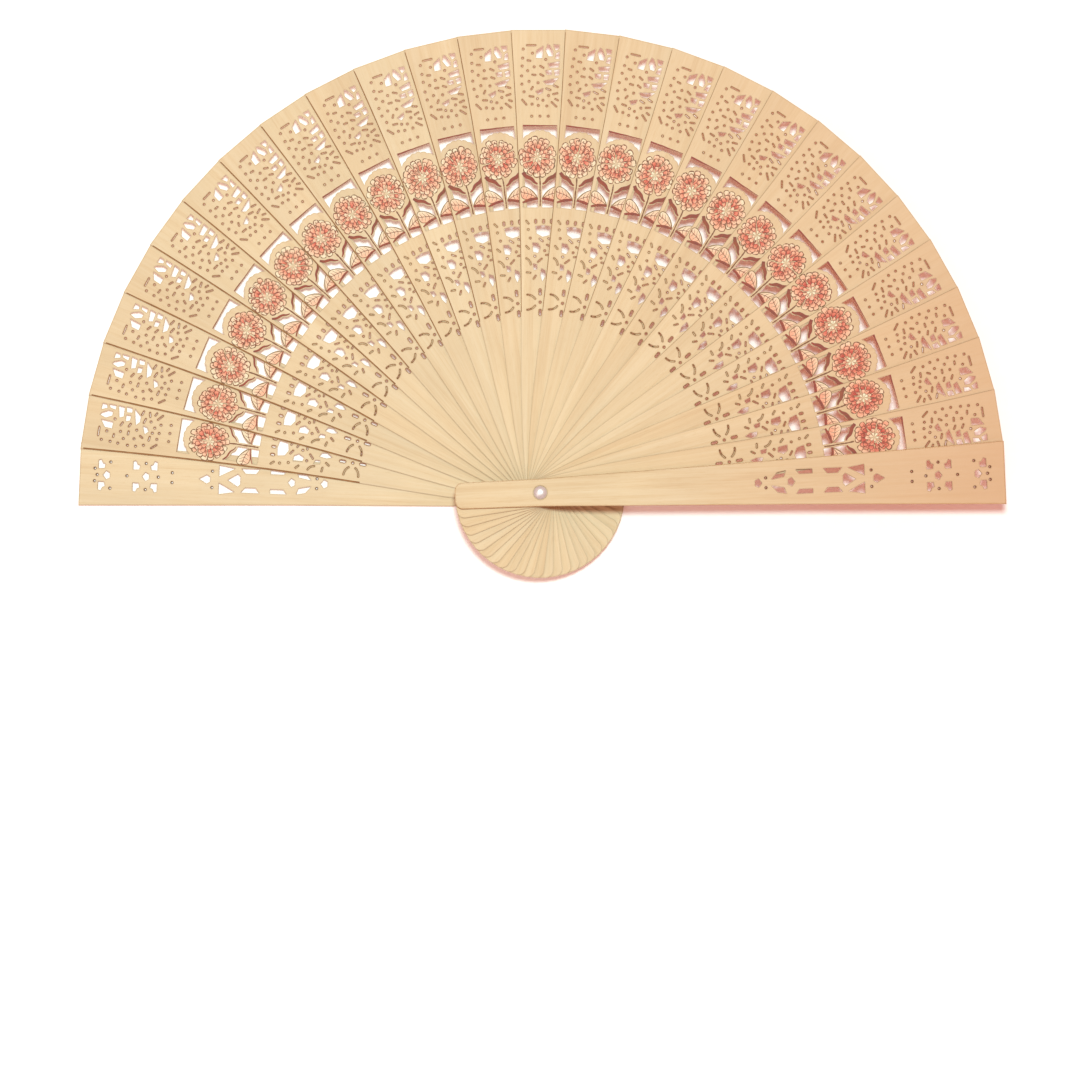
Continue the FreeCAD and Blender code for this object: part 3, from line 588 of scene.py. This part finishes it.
def petal_ring(art, middle, rng, ring, depth):
    """One ring of petals: coral shading from the base outwards, an uneven outline and short veins.
    A petal and its neighbours lie at different levels, so no two faces share a plane where they overlap."""
    inner, outer = ring.tones
    start = rng.uniform(0, math.tau)
    for k in range(ring.count):
        level = ring.height + LEVEL_STEP * (2 if k == ring.count - 1 else k % 2)
        angle = start + math.tau * (k + rng.uniform(*PLACE)) / ring.count
        reach = ring.tip * (1 + rng.uniform(*REACH))
        half = math.radians(ring.spread) * rng.uniform(*SPREAD)
        line, out = petal(middle, ring.base, reach, angle, half, rng.uniform(*SKEW))
        shade = rng.uniform(*SHADE) + depth * ring.depth
        rim = [max(0.0, inner + (outer - inner) * share + shade) for share in out]
        art.fan(around(middle, ring.base, angle), inner + shade, line, rim, level)
        full = [ring.width * (THIN_AT_BASE + (1 - THIN_AT_BASE) * share) for share in out]
        widths = [width * rng.uniform(*OUTLINE_WIDTH) for width in full]
        art.ribbon(line, widths, level + OUTLINE_STEP, limited(ring.red + rng.uniform(*OUTLINE_RED)))
        for side in ring.veins:
            a = angle + (side + rng.uniform(*VEIN_SIDE)) * half
            near = ring.base + rng.uniform(*VEIN_START) * (reach - ring.base)
            far = ring.base + rng.uniform(*VEIN_END) * (reach - ring.base)
            vein = [around(middle, r, a) for r in (near, (near + far) / 2, far)]
            widths = [ring.width * share for share in VEIN_WIDTHS]
            art.ribbon(vein, widths, level + VEIN_STEP, limited(ring.red + VEIN_RED))


def flower(art, middle, rng, depth):
    """Five rings of petals, and short strokes strewn over them. depth makes the coral deeper."""
    for ring in RINGS:
        petal_ring(art, middle, rng, ring, depth)
    for k in range(STROKES):
        a = math.tau * (k + rng.uniform(*STROKE_PLACE)) / STROKES
        near = rng.uniform(*STROKE_START)
        steps = (0.0, rng.uniform(*STROKE_MIDDLE), rng.uniform(*STROKE_LENGTH))
        line = [around(middle, near + step, a) for step in steps]
        height = STROKE_HEIGHT + STROKE_STEP * (k % STROKE_LEVELS)
        art.ribbon(line, STROKE_WIDTHS, height, rng.uniform(*STROKE_RED))


# ---------------------------------------------------------------- leaves, stem, painted rim shadows and flanks

# Lines in mm from the rivet's axis. Those of the leaves and the openings are for a blade's right side.
LEAF_UPPER = curve([(0.9, 107.7), (2.1, 109.3), (3.6, 110.8), (5.4, 111.7), (6.7, 111.5), (7.2, 110.5)])
LEAF_LOWER = curve([(0.9, 107.4), (2.2, 107.3), (3.6, 107.1), (5.2, 107.1), (6.6, 107.9), (7.2, 110.5)])
LEAF_MIDDLE = [((a[0] + b[0]) / 2, (a[1] + b[1]) / 2) for a, b in zip(LEAF_UPPER, LEAF_LOWER)]
STEM = curve([(-0.15, 115.6), (0.05, 113.0), (0.0, 110.0), (0.1, 107.0), (0.0, 104.6)], 6)
# ARCH and UNDER_LEAF run along the openings' upper rims, where their painted shadows lie
ARCH = curve([(0.9, 112.7), (2.0, 113.4), (2.9, 114.5), (4.0, 115.1), (5.1, 115.6), (6.35, 116.9)], 4)
UNDER_LEAF = curve([(0.7, 107.35), (2.0, 107.35), (3.4, 107.05), (4.9, 106.6), (6.4, 105.95)], 4)
WINDOW_TOP = 134.05
WINDOW_STEPS = (-6.3, -4.8, -3.2, -1.6, 0, 1.6, 3.2, 4.8, 6.3)

# Width in mm, height and redness of a leaf's upper edge, lower edge and midrib
Edge = namedtuple("Edge", "width height red")
LEAF_EDGES = (Edge(0.26, 1.5, 0.1), Edge(0.24, 1.6, 0.35), Edge(0.22, 1.7, 0.45))
LEAF_HEIGHT = 1.0
LEAF_TONE, LEAF_DEEPER = (0.10, 0.24), 0.15
LEAF_SHADES = (-0.1, 0.05, 0.22)  # at the upper edge, the midrib and the lower edge
SIDE_VEINS = (0.3, 0.48, 0.64, 0.8)  # where they leave the midrib
SIDE_VEIN_STEPS = 3  # towards the tip, in points of the edge
SIDE_VEIN_REACH = 0.75  # of the way to the edge
SIDE_VEIN_WIDTHS, SIDE_VEIN_HEIGHTS, SIDE_VEIN_RED = [0.2, 0.1], (1.2, 1.3), 0.6

STEM_WIDTH, STEM_HEIGHT, STEM_RED = (0.34, 0.62), 0.6, 0.35

# Weight of the dark lines along the openings' rims, which are painted shadows of the rims, at the left of the
# fan, and how much it grows to the right, where the fan stands higher above the floor
WINDOW_WEIGHT = (0.3, 1.6)
OPENING_WEIGHT = (0.35, 1.3)
WINDOW_WIDTH, WINDOW_HEIGHT, WINDOW_RED = 0.62, 1.2, 0.45
WINDOW_TAPER = (0.02, 0.05)  # mm narrower from point to point, at the left of the fan, and how much it grows
WINDOW_WOBBLE, WINDOW_CHANGE = (-0.05, 0.05), (0.85, 1.1)
ARCH_WIDTH, ARCH_BULGE, ARCH_BULGE_END = 0.5, 0.9, 0.75
ARCH_HEIGHT, ARCH_RED = 6.8, (0.7, 0.95)
UNDER_WIDTH, UNDER_BULGE, UNDER_BULGE_START, UNDER_BULGE_LENGTH = 0.35, 0.75, 0.12, 0.8
UNDER_HEIGHT, UNDER_RED, UNDER_CHANGE = 1.8, (0.75, 1.0), (0.8, 1.1)

# A blade is straight up to its waist, and widens from there to its tip
WAIST, WAIST_TO_TIP = 65.0, 104.0
WAIST_HALF, WIDENING = 7.0, 3.7
FLANK_PLACES = [66.0 + 3.4 * i for i in range(31)]
# Width of the browned flank and its painted contact shadow, widest at the left of the fan and fading to the
# right
FLANK_LEAST, FLANK_MORE, FLANK_FADE = 0.1, 0.55, 1.3
FLANK_HEIGHT, FLANK_CHANGE = 0.3, (0.75, 1.0)


def leaf(art, side, rng, share):
    """Leaf beside the stem, inside the bridge of wood between two openings."""
    upper, middle, lower = (mirrored(line, side) for line in (LEAF_UPPER, LEAF_MIDDLE, LEAF_LOWER))
    tone = rng.uniform(*LEAF_TONE) + LEAF_DEEPER * share
    at_upper, at_middle, at_lower = (tone + shade for shade in LEAF_SHADES)
    art.strip(upper, middle, (at_upper, at_middle), LEAF_HEIGHT, FILL)
    art.strip(middle, lower, (at_middle, at_lower), LEAF_HEIGHT, FILL)
    for line, edge in zip((upper, lower, middle[1:-3]), LEAF_EDGES):
        art.ribbon(line, edge.width, edge.height, edge.red)
    for place in SIDE_VEINS:
        i = round(place * (len(middle) - 1))
        j = min(i + SIDE_VEIN_STEPS, len(middle) - 1)
        for line, height in zip((upper, lower), SIDE_VEIN_HEIGHTS):
            end = between(middle[i], line[j], SIDE_VEIN_REACH)
            art.ribbon([middle[i], end], SIDE_VEIN_WIDTHS, height, SIDE_VEIN_RED)


def grown(least_and_growth, share):
    """A value that grows from the left of the fan to the right, to 1 at most."""
    least, growth = least_and_growth
    return min(1.0, least + growth * share)


def shares(line):
    """Share of the way along a line at each of its points."""
    return [i / (len(line) - 1) for i in range(len(line))]


def stem_and_rim_shadows(art, rng, share):
    """Stem, and dark red-brown lines along the rims of the openings: painted shadows of the rims, heavier to
    the right where the fan stands higher above the floor.
    """
    art.ribbon(STEM, [rng.uniform(*STEM_WIDTH) for _ in STEM], STEM_HEIGHT, STEM_RED)

    full = grown(WINDOW_WEIGHT, share)
    taper = grown(WINDOW_TAPER, share)
    top = [(x, WINDOW_TOP + rng.uniform(*WINDOW_WOBBLE)) for x in WINDOW_STEPS]
    widths = [full * (WINDOW_WIDTH - taper * i) * rng.uniform(*WINDOW_CHANGE) for i in range(len(top))]
    # Painted shadow along the window's top rim
    art.ribbon(top, widths, WINDOW_HEIGHT, limited(WINDOW_RED + share))

    full = grown(OPENING_WEIGHT, share)
    arch = [ARCH_WIDTH + ARCH_BULGE * math.sin(math.pi * ARCH_BULGE_END * a) for a in shares(ARCH)]
    turns = [UNDER_BULGE_START + UNDER_BULGE_LENGTH * a for a in shares(UNDER_LEAF)]
    under = [UNDER_WIDTH + UNDER_BULGE * math.sin(math.pi * turn) for turn in turns]
    # Painted shadows along the upper rims of the openings beside the stem and under the leaves
    for side in (-1, 1):
        widths = [full * width for width in arch]
        art.ribbon(mirrored(ARCH, side), widths, ARCH_HEIGHT, rng.uniform(*ARCH_RED))
        widths = [full * width * rng.uniform(*UNDER_CHANGE) for width in under]
        art.ribbon(mirrored(UNDER_LEAF, side), widths, UNDER_HEIGHT, rng.uniform(*UNDER_RED))


def blade_half(y):
    """Half the width of a blade at a distance from the rivet."""
    return WAIST_HALF + WIDENING * max(0.0, (y - WAIST) / WAIST_TO_TIP) ** 2


def flank_burn_and_contact_shadow(art, rng, share):
    """The browned edge of the blade that lies over its left neighbour, with the shadow it casts on that
    neighbour painted in.
    It is faint on the right of the fan, where that edge faces the light.
    """
    full = FLANK_LEAST + FLANK_MORE * max(0.0, 1.0 - FLANK_FADE * share)
    line = [(-blade_half(y) + full / 2, y) for y in FLANK_PLACES]
    widths = [full * rng.uniform(*FLANK_CHANGE) for _ in line]
    art.ribbon(line, widths, FLANK_HEIGHT, ink=BURN_AND_SHADOW_INK)


# ---------------------------------------------------------------- one print, with its painted shadows, on each blade

FIRST_SEED = 500
ASIDE, ALONG = (-0.25, 0.25), (-0.3, 0.3)  # how far a flower strays, mm
DEPTH = (0.05, -0.3, 0.53)  # of the coral: at the left, growth with the share, growth with its square

for count, blade in enumerate(BLADE_NAMES, start=1):
    rng = random.Random(FIRST_SEED + count)
    share = count / len(BLADE_NAMES)
    art = Print()
    centre = (FLOWER_CENTRE[0] + rng.uniform(*ASIDE), FLOWER_CENTRE[1] + rng.uniform(*ALONG))
    flower(art, centre, rng, DEPTH[0] + DEPTH[1] * share + DEPTH[2] * share ** 2)
    for side in (-1, 1):
        leaf(art, side, rng, share)
    stem_and_rim_shadows(art, rng, share)
    flank_burn_and_contact_shadow(art, rng, share)
    piece = art.lay(f"flower_print_and_shadows_{count:02d}", blade)


# ---------------------------------------------------------------- floor, lamps and camera

FLOOR_HALF = 1.6
FLOOR_DROP = 0.0003
PAPER = [(0.3, (0.925, 0.92, 0.915, 1)), (0.7, (0.945, 0.94, 0.935, 1))]
PAPER_TOOTH = Noise((300, 300, 300), 4, 0.6)
PAPER_ROUGHNESS = 0.9
GLOW = (0.24, 0.17, 0.165, 1)  # makes up for what the tinted lamps leave out, so that open paper looks white
PAINTED_SHADE_GLOW = (0.13, 0.01, 0.01, 1)  # weaker, redder glow under the right half of the fan: painted shade that deepens the shadows there
SHADE_ACROSS = (-0.05, 0.11)  # x, from no share of that glow to all of it
SHADE_REACH = (0.171, 0.195)  # distance from the rivet, from all of it to none

AIM = (0, 0.05, 0)
WORLD_COLOUR, WORLD_STRENGTH = (1.0, 0.55, 0.45, 1), 0.6

CAMERA_HEIGHT = 2.2
CAMERA_PLACE = (-0.0001, -0.0172)
PICTURE_WIDTH = 0.3942  # at half the fan's height
SENSOR_WIDTH = 36.0


def link(name, data):
    """New object of the scene."""
    thing = bpy.data.objects.new(name, data)
    bpy.context.scene.collection.objects.link(thing)
    return thing


def floor():
    """Large pale paper sheet under the fan. It glows, and its glow carries painted shade under the right half
    of the fan.
    """
    n = Nodes("pale_paper")
    where = n.place()
    n.set(Base_Color=n.ramp(n.noise(where, PAPER_TOOTH), PAPER))
    n.set(Roughness=PAPER_ROUGHNESS)
    # Painted shade: the paper's glow turns weaker and redder under the right half of the fan
    right = n.span(n.part(where, 0), *SHADE_ACROSS)
    near = n.span(n.size(where), *SHADE_REACH, 1.0, 0.0)
    n.set(Emission_Color=n.mix(n.math("MULTIPLY", right, near), GLOW, PAINTED_SHADE_GLOW))
    n.set(Emission_Strength=1.0)
    mesh = bpy.data.meshes.new("floor")
    corners = [(x * FLOOR_HALF, y * FLOOR_HALF, -FLOOR_DROP) for x, y in ((-1, -1), (1, -1), (1, 1), (-1, 1))]
    mesh.from_pydata(corners, [], [(0, 1, 2, 3)])
    mesh.materials.append(n.material)
    sheet = link("floor", mesh)
    sheet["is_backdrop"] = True


def lamp(name, place, size, watts, colour):
    """Round lamp aimed at the middle of the fan."""
    data = bpy.data.lights.new(name, "AREA")
    data.shape = "DISK"
    data.size = size
    data.energy = watts
    data.color = colour
    light = link(name, data)
    light.location = place
    light.rotation_euler = (Vector(AIM) - Vector(place)).to_track_quat("-Z", "Y").to_euler()


def surroundings():
    """Reddish light from all round, which is what the shadows are lit by."""
    world = bpy.data.worlds.new("studio")
    bpy.context.scene.world = world
    world.use_nodes = True
    background = world.node_tree.nodes["Background"]
    background.inputs["Color"].default_value = WORLD_COLOUR
    background.inputs["Strength"].default_value = WORLD_STRENGTH


def camera():
    """Straight above, with the long side of the open fan across the picture and room below it."""
    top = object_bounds()[1][2]
    data = bpy.data.cameras.new("camera")
    data.sensor_width = SENSOR_WIDTH
    data.lens = SENSOR_WIDTH * (CAMERA_HEIGHT - top / 2) / PICTURE_WIDTH
    view = link("camera", data)
    view.location = (*CAMERA_PLACE, CAMERA_HEIGHT)
    bpy.context.scene.camera = view


floor()
lamp("key", place=(0.04, 0.285, 2.25), size=0.28, watts=42.6, colour=(0.736, 1.0, 0.981))
lamp("fill", place=(-1.2, -0.7, 2.2), size=1.5, watts=4.0, colour=(1.0, 0.99, 0.98))
surroundings()
camera()
bpy.context.scene.view_settings.view_transform = "Standard"
